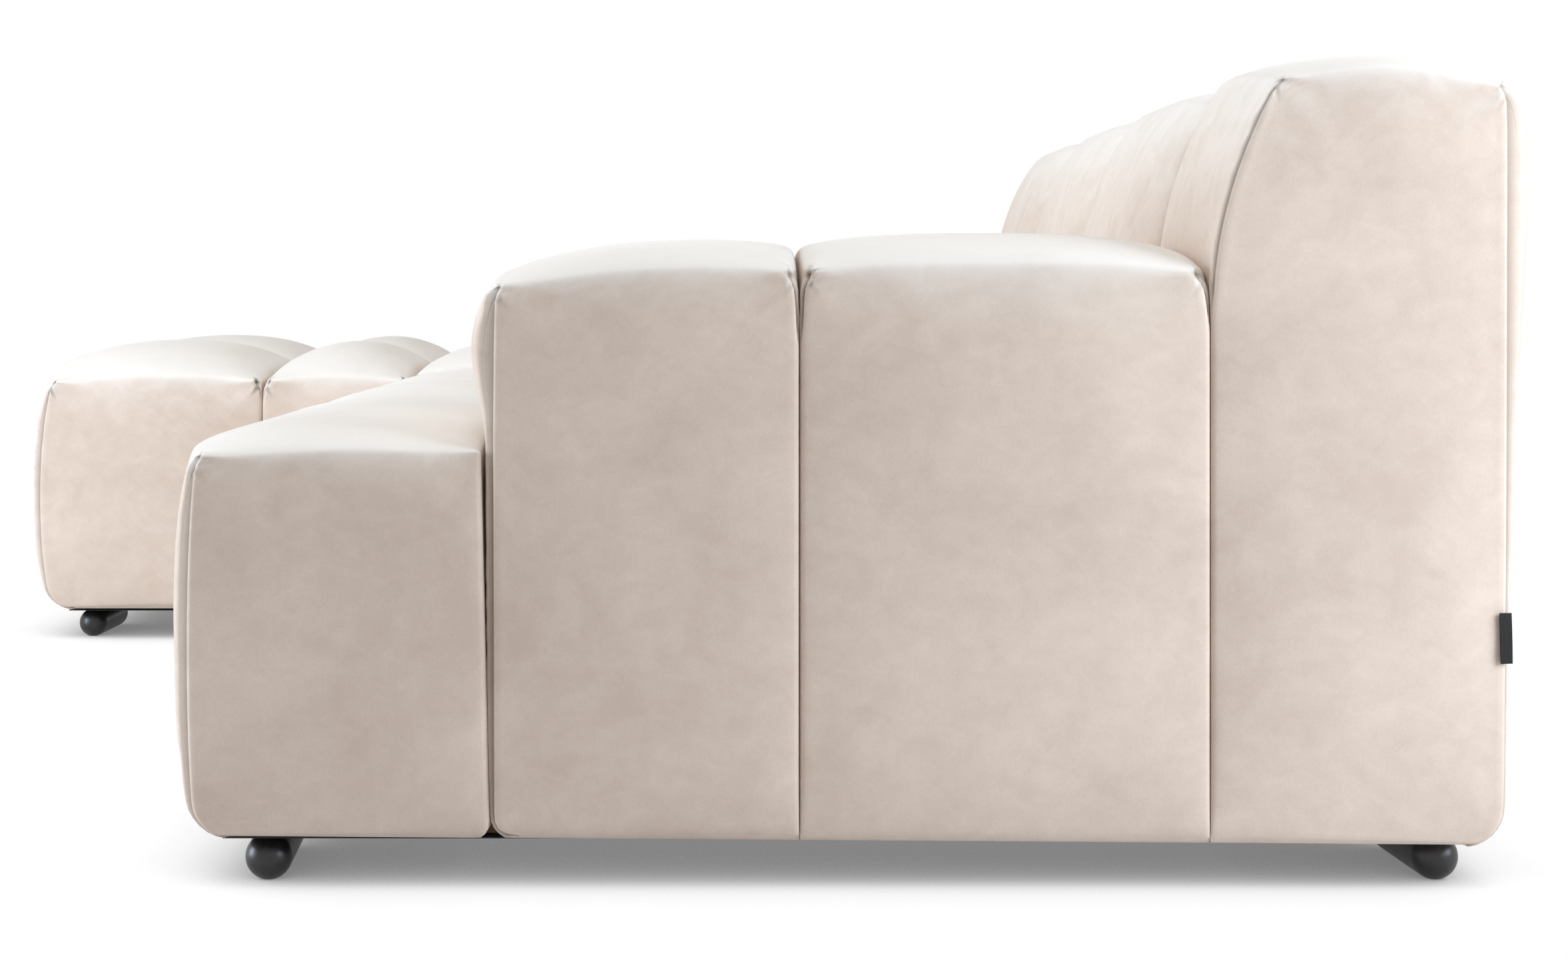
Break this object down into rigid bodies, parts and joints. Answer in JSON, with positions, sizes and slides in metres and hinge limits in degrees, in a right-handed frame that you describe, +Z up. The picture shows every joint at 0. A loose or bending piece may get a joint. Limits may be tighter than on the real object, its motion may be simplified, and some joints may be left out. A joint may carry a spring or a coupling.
{
  "type": "lounge sofa",
  "caption": "Lounge sofa of padded velvet blocks with an armrest, a low channelled back and a backless chaise module, on black capsule legs.",
  "frame": {"origin": "on the floor, under the middle of the whole sofa's box", "axes": "+X along the sofa towards the arm end, the front faces -Y, +Z up"},
  "size_m": [2.7654, 1.7995, 0.7597],
  "materials": {
    "velvet": "ivory velvet",
    "timber": "planed softwood",
    "strap": "elastic webbing",
    "leg": "black satin",
    "steel": "zinc plated",
    "plate": "black powder coat",
    "dust_cloth": "black nonwoven",
    "tab": "woven black tape"
  },
  "bodies": {
    "sofa": {"arm_front_block": "velvet", "arm_front_board": "timber", "arm_inner_panel": "timber", "arm_outer_panel": "timber", "arm_rear_block": "velvet", "arm_top_board": "timber", "back_corner_block": "velvet", "back_left_block": "velvet", "back_middle_block": "velvet", "back_panel": "timber", "back_posts": "timber", "back_right_block": "velvet", "back_straps": "strap", "back_top_rail": "timber", "base_corner_braces": "timber", "base_cross_rails": "timber", "base_end_rails": "timber", "base_front_rail": "timber", "base_rear_rail": "timber", "seat_front_left": "velvet", "seat_front_middle": "velvet", "seat_front_right": "velvet", "seat_pad_left": "velvet", "seat_pad_middle": "velvet", "seat_pad_right": "velvet", "seat_rear_rail": "timber", "seat_straps_crosswise": "strap", "seat_straps_lengthwise": "strap", "side_tab": "tab", "sofa_connector_plates": "plate", "sofa_connector_screws": "steel", "sofa_dust_cover": "dust_cloth", "sofa_leg_bolts": "steel", "sofa_leg_front_left": "leg", "sofa_leg_front_right": "leg", "sofa_leg_inserts": "steel", "sofa_leg_rear_left": "leg", "sofa_leg_rear_right": "leg"},
    "chaise": {"chaise_connector_pins": "steel", "chaise_corner_braces": "timber", "chaise_cross_rails": "timber", "chaise_dust_cover": "dust_cloth", "chaise_front_left": "velvet", "chaise_front_rail": "timber", "chaise_front_right": "velvet", "chaise_leg_bolts": "steel", "chaise_leg_front_left": "leg", "chaise_leg_front_right": "leg", "chaise_leg_inserts": "steel", "chaise_leg_rear_left": "leg", "chaise_leg_rear_right": "leg", "chaise_pad_left": "velvet", "chaise_pad_right": "velvet", "chaise_rear_rail": "timber", "chaise_second_left": "velvet", "chaise_second_right": "velvet", "chaise_side_rails": "timber", "chaise_straps_crosswise": "strap", "chaise_straps_lengthwise": "strap"}
  },
  "joints": [
    {"name": "chaise_lift", "type": "slide", "parent": "sofa", "child": "chaise", "axis": [0, 0, 1], "range_m": [0, 0.06]}
  ]
}
